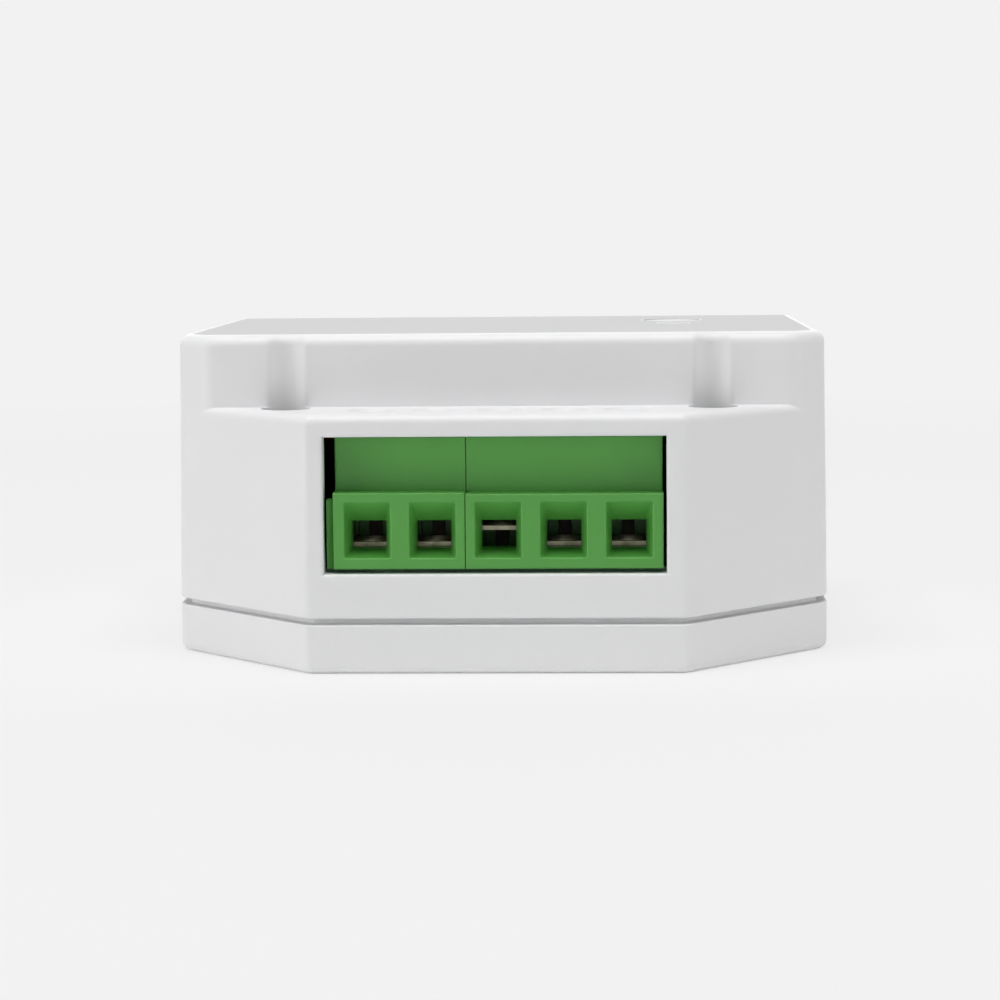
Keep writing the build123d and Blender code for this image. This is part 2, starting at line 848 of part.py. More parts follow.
def make_radio_board():
    """Upper board with the radio, the setup switch and the light."""
    board = block(radio_left, radio_right, radio_front, radio_back, radio_bottom, radio_top)
    board = fillet(board.edges().filter_by(Axis.Z), 0.8)
    for x in header_x:
        board -= rod(x, header_y, 0, case_height, 0.45)
    return board


def make_shield_can():
    """Tinned lid over the radio."""
    top = radio_top + shield_height
    lid = rounded_block(*shield_place, shield_width, shield_depth, radio_top, top, 0.3)
    return lid - centred_block(*shield_place, shield_width - 2 * shield_sheet,
                               shield_depth - 2 * shield_sheet, radio_top - 1, top - shield_sheet)


def make_radio_chip():
    """Radio chip under the lid."""
    return centred_block(*radio_chip_place, 6.0, 6.0, radio_top, radio_top + 0.9)


def make_controller_chip():
    """Controller under the radio board."""
    return gull_chip(controller_place, 7.0, 7.0, 1.2, 8, 0.8, radio_bottom, -1)


def make_antenna_wire():
    """Bent wire antenna along the edge of the radio board."""
    height = radio_top + antenna_rise
    middle = (antenna_front + antenna_back) / 2
    along = Rot(90, 0, 0) * Cylinder(lead_radius, antenna_back - antenna_front)
    wire = Pos(antenna_x, middle, height) * along
    for y in (antenna_front, antenna_front + 2.5):
        wire += rod(antenna_x, y, radio_top, height, lead_radius)
    return wire


def make_switch_body():
    """Body of the tact switch."""
    body = rounded_block(button_x, button_y, switch_width, switch_width, radio_top,
                         radio_top + switch_height, 0.3)
    return body - rod(button_x, button_y, radio_top + 2.2, case_height, 1.8)


def make_switch_stem():
    """Stem of the tact switch, pushed by the button."""
    return rod(button_x, button_y, radio_top + 2.6, flange_bottom, 1.7)


def make_button_cap():
    """Flush setup button with a hidden flange that keeps it in the housing."""
    cap = rod(button_x, button_y, flange_top - join, button_top, button_radius)
    cap = fillet(top_edges(cap), 0.25)
    return cap + rod(button_x, button_y, flange_bottom, flange_top, flange_radius)


def make_status_light():
    """Surface-mounted light on the radio board."""
    lamp = centred_block(button_x, light_y, 3.2, 1.6, radio_top, radio_top + 0.6)
    return lamp + centred_block(button_x, light_y, 2.0, 1.5, radio_top + 0.5, radio_top + 1.1)


def make_light_pipe():
    """Clear pipe from the light up to the top face."""
    pipe = rod(button_x, light_y, radio_top + 1.3, case_height, light_radius)
    return pipe + rod(button_x, light_y, ceiling - 1.2, ceiling, 1.9)


save(make_upper_housing(), "upper_housing")
save(make_base_cover(), "base_cover")
save(make_label(), "identification_label")
save(make_case_screws(), "case_screws")
save(make_terminal_block(1, 2), "terminal_block_two_way")
save(make_terminal_block(3, pole_count), "terminal_block_three_way")
save(make_contact_pins(), "contact_pins")
for pole in range(1, pole_count + 1):
    save(make_terminal_screw(pole), f"terminal_screw_{pole}")
    save(make_clamp_cage(pole), f"clamp_cage_{pole}")
save(make_main_board(), "main_board")
save(make_fuse(), "fuse")
save(make_varistor(), "varistor")
save(make_film_capacitor(), "film_capacitor")
save(make_capacitor(bulk_place, bulk_radius, bulk_height, bulk_leads), "bulk_capacitor")
save(make_capacitor(output_place, output_radius, output_height, output_leads), "output_capacitor")
save(make_choke_core(), "choke_core")
save(make_choke_winding(), "choke_winding")
save(make_transformer_core(), "transformer_core")
save(make_transformer_bobbin(), "transformer_bobbin")
save(make_transformer_winding(), "transformer_winding")
save(make_insulating_pad(), "insulating_pad")
save(make_heat_plate(), "heat_plate")
save(make_transistors(), "power_transistors")
save(make_transistor_screws(), "transistor_screws")
save(make_bridge_rectifier(), "bridge_rectifier")
save(make_optocouplers(), "optocouplers")
save(make_supply_chip(), "supply_chip")
save(make_chip_resistors(), "chip_resistors")
save(make_header_pins(), "header_pins")
save(make_socket_strip(), "socket_strip")
save(make_radio_board(), "radio_board")
save(make_shield_can(), "shield_can")
save(make_radio_chip(), "radio_chip")
save(make_controller_chip(), "controller_chip")
save(make_antenna_wire(), "antenna_wire")
save(make_switch_body(), "setup_switch")
save(make_switch_stem(), "setup_switch_stem")
save(make_button_cap(), "setup_button")
save(make_status_light(), "status_light")
save(make_light_pipe(), "light_pipe")
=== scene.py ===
import math

import bmesh
import bpy
from mathutils import Matrix, Vector


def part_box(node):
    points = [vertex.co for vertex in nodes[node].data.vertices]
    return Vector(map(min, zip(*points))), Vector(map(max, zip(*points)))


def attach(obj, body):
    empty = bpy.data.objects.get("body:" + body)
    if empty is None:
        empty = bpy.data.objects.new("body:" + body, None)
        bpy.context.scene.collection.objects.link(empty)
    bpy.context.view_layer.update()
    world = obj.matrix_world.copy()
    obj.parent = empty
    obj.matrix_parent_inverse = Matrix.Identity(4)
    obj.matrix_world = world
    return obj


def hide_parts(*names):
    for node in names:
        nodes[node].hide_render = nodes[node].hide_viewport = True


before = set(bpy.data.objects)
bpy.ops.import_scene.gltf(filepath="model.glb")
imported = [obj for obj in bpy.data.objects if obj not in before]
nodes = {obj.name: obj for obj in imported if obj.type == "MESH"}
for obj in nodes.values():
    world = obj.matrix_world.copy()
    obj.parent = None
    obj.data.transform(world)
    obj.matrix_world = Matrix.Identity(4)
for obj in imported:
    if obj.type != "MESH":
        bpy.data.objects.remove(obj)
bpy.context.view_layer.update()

# Units: the frame is in metres, and sizes written here in millimetres are scaled by MM.
MM = 0.001
FULL_TURN = 2 * math.pi

# Camera, as worked out from the case's corners in the photograph
camera_place = (8.17 * MM, -219.4 * MM, 35.3 * MM)
camera_yaw = math.radians(-2.28)
camera_pitch = math.radians(6.29)
camera_roll = math.radians(-0.50)
camera_lens = 92.4
sensor_width = 36.0

# Studio
backdrop_tone = 0.888
floor_glow = 0.667
floor_albedo = 0.22
floor_bounce = 0.92
floor_radius = 2.5
shadow_reach = 0.16
shadow_fade = 0.30
ambient_level = 0.02
subject = Vector((0.0, 0.0, 13 * MM))

# Soft boxes: place and size in metres, power in watts
soft_boxes = {
    "overhead": ((0.0, -0.12, 0.75), (0.70, 0.40), 5.3),
    "left_side": ((-0.68, -0.35, 0.15), (0.45, 0.28), 2.05),
    "right_side": ((0.68, -0.35, 0.15), (0.45, 0.28), 1.2),
    "behind": ((0.0, 0.70, 0.45), (0.80, 0.40), 1.5),
}

# Terminal row
pole_count = 5
pole_pitch = 5.08 * MM
row_centre = 0.15 * MM
screw_y = -17.2 * MM
slot_turn = math.radians(47)
poles = range(1, pole_count + 1)

# Sizes that several small pieces share
lead_pitch = 2.54 * MM
screw_head_radius = 1.75 * MM
small_bevel = 0.04 * MM
quarter_steps = 6


def pole_x(pole):
    """Centre of a terminal pole, counted from the left."""
    return row_centre + (pole - (pole_count + 1) / 2) * pole_pitch


def quarter_turn(first=0):
    """The angles of a quarter turn in small steps, from its first step or from a later one."""
    return [step * math.pi / 2 / quarter_steps for step in range(first, quarter_steps + 1)]


# Node helpers
def add_node(tree, kind, inputs=None, **settings):
    """Adds a node, sets its properties, and sets or links its inputs."""
    made = tree.nodes.new(kind)
    for key, value in settings.items():
        setattr(made, key, value)
    for key, value in (inputs or {}).items():
        if isinstance(value, bpy.types.NodeSocket):
            tree.links.new(value, made.inputs[key])
        else:
            made.inputs[key].default_value = value
    return made


def maths(tree, operation, first, second=0.0, third=0.0, clamp=False):
    """A Math node's result."""
    made = add_node(tree, "ShaderNodeMath", {0: first, 1: second, 2: third}, operation=operation,
                    use_clamp=clamp)
    return made.outputs[0]


def span(tree, value, low, high, to_low, to_high):
    """A value moved from one span to another, clamped."""
    made = add_node(tree, "ShaderNodeMapRange",
                    {"Value": value, "From Min": low, "From Max": high,
                     "To Min": to_low, "To Max": to_high})
    return made.outputs["Result"]


def noise(tree, vector, scale, detail=2.0, roughness=0.5):
    """A noise value round one half."""
    made = add_node(tree, "ShaderNodeTexNoise",
                    {"Vector": vector, "Scale": scale, "Detail": detail, "Roughness": roughness})
    return made.outputs["Fac"]


def mix_colour(tree, factor, first, second, blend="MIX"):
    """Two colours mixed."""
    made = add_node(tree, "ShaderNodeMix", data_type="RGBA", blend_type=blend)
    for socket, value in ((made.inputs[0], factor), (made.inputs[6], first),
                          (made.inputs[7], second)):
        if isinstance(value, bpy.types.NodeSocket):
            tree.links.new(value, socket)
        else:
            socket.default_value = value
    return made.outputs[2]


def brightened(tree, colour, factor):
    """A colour times a factor."""
    made = add_node(tree, "ShaderNodeVectorMath", {0: colour}, operation="SCALE")
    tree.links.new(factor, made.inputs["Scale"])
    return made.outputs[0]


def new_group(name, inputs, outputs):
    """A shader node group with named sockets."""
    group = bpy.data.node_groups.new(name, "ShaderNodeTree")
    for label, kind, default in inputs:
        socket = group.interface.new_socket(name=label, in_out="INPUT", socket_type=kind)
        if default is not None:
            socket.default_value = default
    for label, kind in outputs:
        group.interface.new_socket(name=label, in_out="OUTPUT", socket_type=kind)
    return group, group.nodes.new("NodeGroupInput").outputs, group.nodes.new("NodeGroupOutput").inputs


FLOAT = "NodeSocketFloat"
COLOUR = "NodeSocketColor"
VECTOR = "NodeSocketVector"
surface_outputs = (("Colour", COLOUR), ("Roughness", FLOAT), ("Height", FLOAT))


def build_moulded_skin():
    """Spark-eroded moulded plastic: fine grain, pores, slow drift of tone and of gloss."""
    pore_scale = 0.45
    pore_depth = -0.35
    gloss_scale = 7.0
    fleck_share = 0.5
    group, given, out = new_group("moulded_skin", (
        ("Vector", VECTOR, None), ("Colour", COLOUR, (0.8, 0.8, 0.8, 1)),
        ("Grain Size", FLOAT, 0.06), ("Tone Shift", FLOAT, 0.02), ("Drift Size", FLOAT, 18.0),
        ("Roughness", FLOAT, 0.45), ("Roughness Spread", FLOAT, 0.08)), surface_outputs)
    grain_scale = maths(group, "DIVIDE", 1 / MM, given["Grain Size"])
    drift_scale = maths(group, "DIVIDE", 1 / MM, given["Drift Size"])
    grain = noise(group, given["Vector"], grain_scale, 2.0, 0.6)
    pores = add_node(group, "ShaderNodeTexVoronoi",
                     {"Vector": given["Vector"],
                      "Scale": maths(group, "MULTIPLY", grain_scale, pore_scale)})
    drift = noise(group, given["Vector"], drift_scale, 1.0)
    flow = noise(group, given["Vector"], maths(group, "MULTIPLY", drift_scale, gloss_scale), 3.0)
    tone = maths(group, "MULTIPLY_ADD", maths(group, "SUBTRACT", drift, 0.5), given["Tone Shift"], 1.0)
    fleck = maths(group, "MULTIPLY_ADD", maths(group, "SUBTRACT", grain, 0.5),
                  maths(group, "MULTIPLY", given["Tone Shift"], fleck_share), tone)
    gloss = maths(group, "MULTIPLY_ADD", maths(group, "SUBTRACT", flow, 0.5),
                  given["Roughness Spread"], given["Roughness"])
    height = maths(group, "MULTIPLY_ADD", pores.outputs["Distance"], pore_depth, grain)
    group.links.new(brightened(group, given["Colour"], fleck), out["Colour"])
    group.links.new(gloss, out["Roughness"])
    group.links.new(height, out["Height"])
    return group


def build_plated_metal():
    """Plated or tinned metal: drawn lines, dull patches and a little stain."""
    line_stretch = (1, 0.08, 1)
    line_gloss = 0.4
    patch_scale = 0.05
    group, given, out = new_group("plated_metal", (
        ("Vector", VECTOR, None), ("Colour", COLOUR, (0.7, 0.7, 0.7, 1)),
        ("Stain Colour", COLOUR, (0.3, 0.25, 0.15, 1)), ("Stain", FLOAT, 0.3),
        ("Line Size", FLOAT, 0.05), ("Roughness", FLOAT, 0.3), ("Roughness Spread", FLOAT, 0.2)),
        surface_outputs)
    line_scale = maths(group, "DIVIDE", 1 / MM, given["Line Size"])
    drawn = add_node(group, "ShaderNodeMapping", {"Vector": given["Vector"], "Scale": line_stretch})
    lines = noise(group, drawn.outputs[0], line_scale, 2.0)
    patches = noise(group, given["Vector"], maths(group, "MULTIPLY", line_scale, patch_scale), 4.0, 0.65)
    dull = span(group, patches, 0.42, 0.72, 0.0, 1.0)
    stained = mix_colour(group, maths(group, "MULTIPLY", dull, given["Stain"]), given["Colour"],
                         given["Stain Colour"])
    unevenness = maths(group, "ADD", dull, maths(group, "MULTIPLY", lines, line_gloss))
    gloss = maths(group, "MULTIPLY_ADD", unevenness, given["Roughness Spread"], given["Roughness"])
    group.links.new(stained, out["Colour"])
    group.links.new(gloss, out["Roughness"])
    group.links.new(lines, out["Height"])
    return group


def build_board_skin():
    """Solder mask over a glass laminate: weave, buried tracks and patches of tone."""
    cell_scale = 0.5
    weave_scale = 0.9
    mottle_scale = 0.3
    mottle_gloss = 0.12
    weave_height = 0.12
    group, given, out = new_group("board_skin", (
        ("Vector", VECTOR, None), ("Mask Colour", COLOUR, (0.02, 0.12, 0.05, 1)),
        ("Track Colour", COLOUR, (0.05, 0.22, 0.09, 1)), ("Track Pitch", FLOAT, 1.27),
        ("Roughness", FLOAT, 0.32)), surface_outputs)
    track_scale = maths(group, "DIVIDE", 1 / MM, given["Track Pitch"])
    cells = add_node(group, "ShaderNodeTexVoronoi",
                     {"Vector": given["Vector"],
                      "Scale": maths(group, "MULTIPLY", track_scale, cell_scale)},
                     distance="MANHATTAN", feature="F1")
    tracks = span(group, cells.outputs["Distance"], 0.42, 0.46, 1.0, 0.0)
    weave = add_node(group, "ShaderNodeTexWave",
                     {"Vector": given["Vector"], "Distortion": 0.3,
                      "Scale": maths(group, "MULTIPLY", track_scale, weave_scale)},
                     bands_direction="DIAGONAL")
    mottle = noise(group, given["Vector"], maths(group, "MULTIPLY", track_scale, mottle_scale), 3.0)
    laid = mix_colour(group, tracks, given["Mask Colour"], given["Track Colour"])
    shaded = brightened(group, laid, span(group, mottle, 0.3, 0.7, 0.85, 1.15))
    group.links.new(shaded, out["Colour"])
    gloss = maths(group, "MULTIPLY_ADD", mottle, mottle_gloss, given["Roughness"])
    height = maths(group, "MULTIPLY_ADD", weave.outputs["Fac"], weave_height, tracks)
    group.links.new(gloss, out["Roughness"])
    group.links.new(height, out["Height"])
    return group


def build_edge_catch():
    """Softened arrises: a normal rounded over sharp edges."""
    group, given, out = new_group("edge_catch", (("Radius", FLOAT, 0.1 * MM),),
                                  (("Normal", VECTOR),))
    rounded = add_node(group, "ShaderNodeBevel", {"Radius": given["Radius"]}, samples=4)
    group.links.new(rounded.outputs["Normal"], out["Normal"])
    return group


moulded_skin = build_moulded_skin()
plated_metal = build_plated_metal()
board_skin = build_board_skin()
edge_catch = build_edge_catch()


def surface(name, group, values, shader_values, bump, edge=0.0):
    """A material whose colour, roughness and bump come from one of the groups."""
    material = bpy.data.materials.new(name)
    material.use_nodes = True
    tree = material.node_tree
    shader = tree.nodes["Principled BSDF"]
    for key, value in shader_values.items():
        shader.inputs[key].default_value = value
    place = add_node(tree, "ShaderNodeTexCoord").outputs["Object"]
    skin = add_node(tree, "ShaderNodeGroup", {}, node_tree=group)
    tree.links.new(place, skin.inputs["Vector"])
    for key, value in values.items():
        skin.inputs[key].default_value = value
    relief = add_node(tree, "ShaderNodeBump", {"Height": skin.outputs["Height"],
                                               "Distance": bump * MM, "Strength": 0.6})
    if edge:
        soft = add_node(tree, "ShaderNodeGroup", {}, node_tree=edge_catch)
        soft.inputs["Radius"].default_value = edge * MM
        tree.links.new(soft.outputs["Normal"], relief.inputs["Normal"])
    tree.links.new(skin.outputs["Colour"], shader.inputs["Base Color"])
    tree.links.new(skin.outputs["Roughness"], shader.inputs["Roughness"])
    tree.links.new(relief.outputs["Normal"], shader.inputs["Normal"])
    return material


def moulded(name, colour, roughness, grain=0.06, tone=0.03, bump=0.004, edge=0.0, spread=0.08,
            drift=18.0, **shader_values):
    """A moulded plastic."""
    values = {"Colour": (*colour, 1), "Grain Size": grain, "Tone Shift": tone,
              "Drift Size": drift, "Roughness": roughness, "Roughness Spread": spread}
    return surface(name, moulded_skin, values, shader_values, bump, edge)


def plated(name, colour, stain_colour, stain, roughness, line=0.05, spread=0.2, bump=0.002,
           edge=0.0, **shader_values):
    """A bare or plated metal."""
    values = {"Colour": (*colour, 1), "Stain Colour": (*stain_colour, 1), "Stain": stain,
              "Line Size": line, "Roughness": roughness, "Roughness Spread": spread}
    return surface(name, plated_metal, values, {"Metallic": 1.0, **shader_values}, bump, edge)


def laminate(name, mask, track, pitch):
    """A printed circuit board."""
    values = {"Mask Colour": (*mask, 1), "Track Colour": (*track, 1), "Track Pitch": pitch,
              "Roughness": 0.3}
    return surface(name, board_skin, values, {"Coat Weight": 0.3, "Coat Roughness": 0.15}, 0.03)


finishes = {
    "case_plastic": moulded("white_case_plastic", (0.80, 0.80, 0.808), 0.48, grain=0.09, tone=0.025,
                            bump=0.006, edge=0.12),
    "label_stock": moulded("pale_label_stock", (0.49, 0.49, 0.495), 0.62, grain=0.2, tone=0.02,
                           bump=0.003, spread=0.05),
    "terminal_plastic": moulded("green_terminal_plastic", (0.082, 0.318, 0.052), 0.42, grain=0.12,
                                tone=0.10, bump=0.006, edge=0.06, spread=0.14, drift=5.0,
                                **{"Specular IOR Level": 0.5}),
    "zinc_steel": plated("zinc_plated_steel", (0.62, 0.61, 0.58), (0.34, 0.31, 0.24), 0.45, 0.24,
                         edge=0.04),
    # Partly painted shade: plated metal, coloured darker than bare plate to stand for the shade on the
    # cage lips inside the wire holes; the stain is the plate's own.
    "cage_metal": plated("cage_plate_with_painted_shade", (0.33, 0.32, 0.23), (0.12, 0.10, 0.06), 0.6, 0.36,
                         edge=0.04),
    # Painted shade: the contact metal is coloured near-black to stand for the deep shade inside the wire
    # holes.
    "contact_metal": plated("contact_metal_painted_shade", (0.035, 0.033, 0.028), (0.02, 0.018, 0.014), 0.5,
                            0.5),
    "tinned_copper": plated("tinned_copper", (0.70, 0.69, 0.66), (0.42, 0.38, 0.30), 0.35, 0.22),
    "board_laminate": laminate("board_laminate", (0.018, 0.10, 0.045), (0.05, 0.20, 0.085), 1.9),
    "button_plastic": moulded("grey_button_plastic", (0.60, 0.60, 0.61), 0.45, grain=0.07,
                              tone=0.02, edge=0.06),
    "black_moulding": moulded("black_moulding", (0.028, 0.028, 0.03), 0.46, grain=0.15, tone=0.3,
                              bump=0.008, spread=0.16, drift=4.0),
    "aluminium": plated("bare_aluminium", (0.78, 0.78, 0.79), (0.55, 0.55, 0.54), 0.4, 0.28,
                        line=0.1),
    "copper_wire": plated("enamelled_copper", (0.72, 0.34, 0.14), (0.40, 0.15, 0.05), 0.5, 0.20,
                          spread=0.12, **{"Coat Weight": 0.6}),
    "ferrite": moulded("dark_ferrite", (0.085, 0.085, 0.092), 0.55, grain=0.1, tone=0.4, bump=0.015,
                       spread=0.2, drift=3.0),
    "capacitor_box": moulded("yellow_capacitor_box", (0.72, 0.55, 0.10), 0.34, grain=0.2,
                             tone=0.08, bump=0.008, edge=0.1),
    "capacitor_sleeve": moulded("dark_shrink_sleeve", (0.025, 0.04, 0.10), 0.26, grain=0.3,
                                tone=0.2, bump=0.01),
    "varistor_coat": moulded("blue_epoxy_coat", (0.05, 0.14, 0.48), 0.28, grain=0.5, tone=0.2,
                             bump=0.03, spread=0.1, drift=2.5),
    "winding_tape": moulded("yellow_winding_tape", (0.76, 0.58, 0.08), 0.24, grain=0.35,
                            tone=0.12, bump=0.01, **{"Coat Weight": 0.4}),
    "silicone_pad": moulded("grey_silicone_pad", (0.50, 0.53, 0.56), 0.62, grain=0.2, tone=0.1,
                            bump=0.012),
    "lamp_resin": moulded("pale_lamp_resin", (0.84, 0.84, 0.74), 0.25, grain=0.1, tone=0.06,
                          **{"Subsurface Weight": 0.2, "Subsurface Scale": 0.3 * MM}),
    "clear_plastic": moulded("clear_light_pipe", (0.93, 0.95, 0.96), 0.10, grain=0.25, tone=0.01,
                             bump=0.002, spread=0.05, **{"Transmission Weight": 0.9, "IOR": 1.49}),
}

for node in nodes.values():
    for material_slot in node.material_slots:
        material_slot.material = finishes[material_slot.material.name.split(".")[0]]


# Mesh helpers
def finished(name, mesh, finish, body, replaced=()):
    """Makes a piece of a mesh, gives it its finish, and puts it on its body."""
    piece = bpy.data.objects.new(name, mesh)
    bpy.context.scene.collection.objects.link(piece)
    piece.data.materials.clear()
    piece.data.materials.append(finishes[finish])
    for face in piece.data.polygons:
        face.material_index = 0
    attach(piece, body)
    if replaced:
        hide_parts(*replaced)
    return piece


def settled(piece):
    """The mesh of a scratch object with its modifiers applied; the object is removed."""
    graph = bpy.context.evaluated_depsgraph_get()
    mesh = bpy.data.meshes.new_from_object(piece.evaluated_get(graph))
    bpy.data.objects.remove(piece)
    return mesh


def scratch(name, mesh):
    """A linked object that holds a mesh while modifiers work on it."""
    piece = bpy.data.objects.new(name, mesh)
    bpy.context.scene.collection.objects.link(piece)
    return piece


def lathe(profile, segments=48):
    """A closed body turned round Z from (radius, height) points that start and end on the axis."""
    shape = bmesh.new()
    rings = []
    for radius, height in profile:
        if radius < 1e-9:
            rings.append([shape.verts.new((0, 0, height))])
            continue
        rings.append([shape.verts.new((radius * math.cos(FULL_TURN * i / segments),
                                       radius * math.sin(FULL_TURN * i / segments), height))
                      for i in range(segments)])
    for below, above in zip(rings, rings[1:]):
        for i in range(segments):
            j = (i + 1) % segments
            corners = [below[i % len(below)], below[j % len(below)],
                       above[j % len(above)], above[i % len(above)]]
            shape.faces.new(list(dict.fromkeys(corners)))
    mesh = bpy.data.meshes.new("turned")
    shape.to_mesh(mesh)
    shape.free()
    return mesh


def shifted(mesh, offset, turn=0.0):
    """A mesh turned round Z and moved."""
    mesh.transform(Matrix.Translation(offset) @ Matrix.Rotation(turn, 4, "Z"))
    return mesh


def joined(name, meshes):
    """Several meshes as one."""
    shape = bmesh.new()
    for mesh in meshes:
        shape.from_mesh(mesh)
        bpy.data.meshes.remove(mesh)
    whole = bpy.data.meshes.new(name)
    shape.to_mesh(whole)
    shape.free()
    return whole


def smooth_by_angle(mesh, degrees):
    """Smooth shading with sharp edges kept."""
    mesh.shade_smooth()
    mesh.set_sharp_from_angle(angle=math.radians(degrees))
    return mesh


def box_mesh(centre, size, turn=0.0):
    """A plain box, used as a cutter or as a starting shape."""
    shape = bmesh.new()
    bmesh.ops.create_cube(shape, size=1.0)
    bmesh.ops.transform(shape, verts=shape.verts, matrix=Matrix.Diagonal((*size, 1)))
    mesh = bpy.data.meshes.new("box")
    shape.to_mesh(mesh)
    shape.free()
    return shifted(mesh, centre, turn)


def cut_and_softened(mesh, cutters):
    """A mesh with cutters taken out and its sharp edges bevelled a little."""
    sharp_angle = 40
    body = scratch("cut_body", mesh)
    held = [scratch("cutter", cutter) for cutter in cutters]
    for cutter in held:
        cut = body.modifiers.new("cut", "BOOLEAN")
        cut.object = cutter
        cut.operation = "DIFFERENCE"
        cut.solver = "EXACT"
    soft = body.modifiers.new("soft", "BEVEL")
    soft.width = small_bevel
    soft.segments = 2
    soft.limit_method = "ANGLE"
    soft.angle_limit = math.radians(sharp_angle)
    result = settled(body)
    for cutter in held:
        bpy.data.objects.remove(cutter)
    return smooth_by_angle(result, sharp_angle)


# Geometry Nodes helpers
def new_geometry_tree(name, inputs):
    """A geometry tree with named inputs and one geometry output."""
    tree = bpy.data.node_groups.new(name, "GeometryNodeTree")
    for label, kind, default in inputs:
        socket = tree.interface.new_socket(name=label, in_out="INPUT", socket_type=kind)
        if default is not None:
            socket.default_value = default
    tree.interface.new_socket(name="Geometry", in_out="OUTPUT", socket_type="NodeSocketGeometry")
    return tree, tree.nodes.new("NodeGroupInput").outputs


def end_tree(tree, geometry, material_socket):
    """The last steps of every geometry tree."""
    whole = add_node(tree, "GeometryNodeRealizeInstances", {"Geometry": geometry})
    shaded = add_node(tree, "GeometryNodeSetShadeSmooth", {"Geometry": whole.outputs[0]})
    painted = add_node(tree, "GeometryNodeSetMaterial",
                       {"Geometry": shaded.outputs[0], "Material": material_socket})
    add_node(tree, "NodeGroupOutput", {"Geometry": painted.outputs[0]})
    return tree


def grown(tree, finish, values, seed=None):
    """The plain mesh that a geometry tree gives with these values, on a seed mesh if it takes one."""
    holder = scratch("grown", seed or bpy.data.meshes.new("seed"))
    modifier = holder.modifiers.new("tree", "NODES")
    modifier.node_group = tree
    identifiers = {item.name: item.identifier for item in tree.interface.items_tree
                   if item.in_out == "INPUT"}
    for label, value in values.items():
        modifier[identifiers[label]] = value
    modifier[identifiers["Material"]] = finishes[finish]
    holder.update_tag()
    bpy.context.view_layer.update()
    return settled(holder)


MATERIAL = "NodeSocketMaterial"
INTEGER = "NodeSocketInt"


def build_thread_tree():
    """A threaded shank: a grid rolled round Z, whose radius follows the thread."""
    flank_steepness = 1.35
    point_share = 0.45
    end_margin = 0.0001
    tree, given = new_geometry_tree("threaded_shank", (
        ("Crest Radius", FLOAT, 1.5 * MM), ("Thread Depth", FLOAT, 0.25 * MM),
        ("Pitch", FLOAT, 0.5 * MM), ("Bottom", FLOAT, 0.0), ("Top", FLOAT, 5 * MM),
        ("Point", FLOAT, 0.3 * MM), ("Around", INTEGER, 32), ("Along", INTEGER, 64),
        ("Material", MATERIAL, None)))
    grid = add_node(tree, "GeometryNodeMeshGrid",
                    {"Size X": 1.0, "Size Y": 1.0, "Vertices X": given["Around"],
                     "Vertices Y": given["Along"]})
    at = add_node(tree, "ShaderNodeSeparateXYZ",
                  {0: add_node(tree, "GeometryNodeInputPosition").outputs[0]})
    round_share = maths(tree, "ADD", at.outputs["X"], 0.5)
    along_share = maths(tree, "ADD", at.outputs["Y"], 0.5)
    length = maths(tree, "SUBTRACT", given["Top"], given["Bottom"])
    height = maths(tree, "MULTIPLY_ADD", along_share, length, given["Bottom"])
    turns = maths(tree, "SUBTRACT", maths(tree, "DIVIDE", height, given["Pitch"]), round_share)
    ramp = maths(tree, "ABSOLUTE", maths(tree, "MULTIPLY_ADD", maths(tree, "FRACT", turns), 2.0, -1.0))
    flank = maths(tree, "MULTIPLY", ramp, flank_steepness, clamp=True)
    from_bottom = maths(tree, "SUBTRACT", height, given["Bottom"])
    from_top = maths(tree, "SUBTRACT", given["Top"], height)
    near_top = span(tree, from_top, 0.0, given["Pitch"], 1.0, 0.0)
    groove = maths(tree, "MAXIMUM", flank, near_top)
    threaded = maths(tree, "MULTIPLY_ADD", groove, maths(tree, "MULTIPLY", given["Thread Depth"], -1.0),
                     given["Crest Radius"])
    pointed = span(tree, from_bottom, 0.0, given["Point"], point_share, 1.0)
    closed = maths(tree, "MULTIPLY", maths(tree, "GREATER_THAN", along_share, end_margin),
                   maths(tree, "LESS_THAN", along_share, 1 - end_margin))
    radius = maths(tree, "MULTIPLY", maths(tree, "MULTIPLY", threaded, pointed), closed)
    angle = maths(tree, "MULTIPLY", round_share, FULL_TURN)
    place = add_node(tree, "ShaderNodeCombineXYZ",
                     {0: maths(tree, "MULTIPLY", radius, maths(tree, "COSINE", angle)),
                      1: maths(tree, "MULTIPLY", radius, maths(tree, "SINE", angle)),
                      2: height})
    rolled = add_node(tree, "GeometryNodeSetPosition",
                      {"Geometry": grid.outputs["Mesh"], "Position": place.outputs[0]})
    merged = add_node(tree, "GeometryNodeMergeByDistance",
                      {"Geometry": rolled.outputs[0], "Distance": 0.002 * MM})
    return end_tree(tree, merged.outputs[0], given["Material"])


def build_coil_tree():
    """A layer of wire wound round Z."""
    tree, given = new_geometry_tree("wound_layer", (
        ("Turns", FLOAT, 10.0), ("Radius", FLOAT, 4.75 * MM), ("Height", FLOAT, 6 * MM),
        ("Wire Radius", FLOAT, 0.25 * MM), ("Steps", INTEGER, 400), ("Material", MATERIAL, None)))
    helix = add_node(tree, "GeometryNodeCurveSpiral",
                     {"Resolution": given["Steps"], "Rotations": given["Turns"],
                      "Start Radius": given["Radius"], "End Radius": given["Radius"],
                      "Height": given["Height"]})
    section = add_node(tree, "GeometryNodeCurvePrimitiveCircle",
                       {"Resolution": 10, "Radius": given["Wire Radius"]})
    wire = add_node(tree, "GeometryNodeCurveToMesh",
                    {"Curve": helix.outputs[0], "Profile Curve": section.outputs[0], "Fill Caps": True})
    return end_tree(tree, wire.outputs[0], given["Material"])


